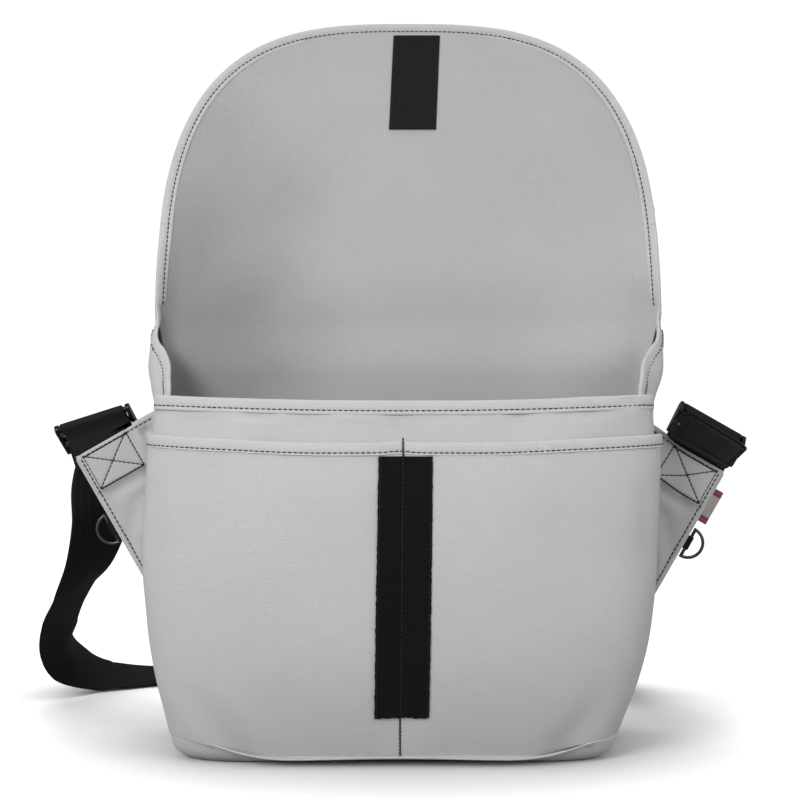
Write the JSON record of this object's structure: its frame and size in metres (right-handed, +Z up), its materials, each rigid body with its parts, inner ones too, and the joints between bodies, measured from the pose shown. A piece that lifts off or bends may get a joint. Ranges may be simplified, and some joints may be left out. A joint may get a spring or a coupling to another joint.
{
  "type": "daypack",
  "caption": "Canvas daypack with a fold-over flap, a stitched front pocket with closure tape, side wings with buckles and rings, and one shoulder strap.",
  "frame": {"origin": "on the floor under the middle of the bag", "axes": "+Z up, -Y towards the front pocket, +X to the right seen from the front"},
  "size_m": [0.5704, 0.3716, 0.5671],
  "materials": {
    "canvas": "heavy plain-weave canvas",
    "binding": "folded canvas binding, black stitched",
    "lining": "plain-weave canvas lining",
    "webbing": "woven strap with a slight sheen",
    "loop_tape": "fuzzy loop pile",
    "hook_tape": "fine hook pile",
    "label": "plain woven label",
    "foam": "closed-cell padding",
    "board": "stiffening sheet",
    "buckle": "moulded, glossy",
    "ring": "dark plated wire"
  },
  "bodies": {
    "bag": {"front_panel": "canvas", "back_panel": "canvas", "side_gusset_left": "canvas", "side_gusset_right": "canvas", "base_panel": "canvas", "pocket_panel": "canvas", "pocket_binding": "binding", "rim_binding": "binding", "gusset_binding_left": "binding", "gusset_binding_right": "binding", "pocket_loop_tape": "loop_tape", "liner": "lining", "base_board": "board", "back_pad": "foam", "wing_front_left": "canvas", "wing_back_left": "canvas", "wing_front_right": "canvas", "wing_back_right": "canvas", "anchor_webbing_left": "webbing", "anchor_webbing_right": "webbing", "ring_tab_left": "webbing", "ring_tab_right": "webbing", "side_label": "label", "shoulder_strap": "webbing"},
    "flap_bridge": {"flap_bridge_panel": "canvas", "bridge_binding_left": "binding", "bridge_binding_right": "binding"},
    "flap_cover": {"flap_cover_panel": "canvas", "cover_binding": "binding", "flap_hook_tape": "hook_tape"},
    "buckle_left": {"ladder_lock_left": "buckle", "strap_end_left": "webbing", "strap_tail_left": "webbing"},
    "buckle_right": {"cam_frame_right": "buckle", "strap_end_right": "webbing"},
    "cam_lever": {"cam_lever_right": "buckle"},
    "ring_left": {"d_ring_left": "ring"},
    "ring_right": {"d_ring_right": "ring"}
  },
  "joints": [
    {"name": "flap_hinge", "type": "hinge", "parent": "bag", "child": "flap_bridge", "pos_m": [0, 0.06275, 0.328], "axis": [1, 0, 0], "range_deg": [-70, 133]},
    {"name": "flap_fold", "type": "hinge", "parent": "flap_bridge", "child": "flap_cover", "pos_m": [0, 0.09186, 0.46494], "axis": [1, 0, 0], "range_deg": [-23, 43]},
    {"name": "buckle_left_tilt", "type": "hinge", "parent": "bag", "child": "buckle_left", "pos_m": [-0.2354, 0.03135, 0.2429], "axis": [0.9527, 0, 0.304], "range_deg": [0, 105]},
    {"name": "buckle_right_tilt", "type": "hinge", "parent": "bag", "child": "buckle_right", "pos_m": [0.23095, 0.03135, 0.22408], "axis": [0.8686, 0, -0.4955], "range_deg": [-30, 15]},
    {"name": "cam_lever_lift", "type": "hinge", "parent": "buckle_right", "child": "cam_lever", "pos_m": [0.23786, 0.02907, 0.2362], "axis": [-0.8686, 0, 0.4955], "range_deg": [0, 60]},
    {"name": "ring_left_swing", "type": "hinge", "parent": "bag", "child": "ring_left", "pos_m": [-0.22216, 0.0378, 0.15893], "axis": [-0.4955, 0, 0.8686], "range_deg": [-120, 90]},
    {"name": "ring_right_swing", "type": "hinge", "parent": "bag", "child": "ring_right", "pos_m": [0.22216, 0.0378, 0.14793], "axis": [-0.4955, 0, -0.8686], "range_deg": [-120, 90]}
  ],
  "couplings": [
    {"joint": "flap_fold", "follows": "flap_hinge", "ratio": 0.31579}
  ]
}
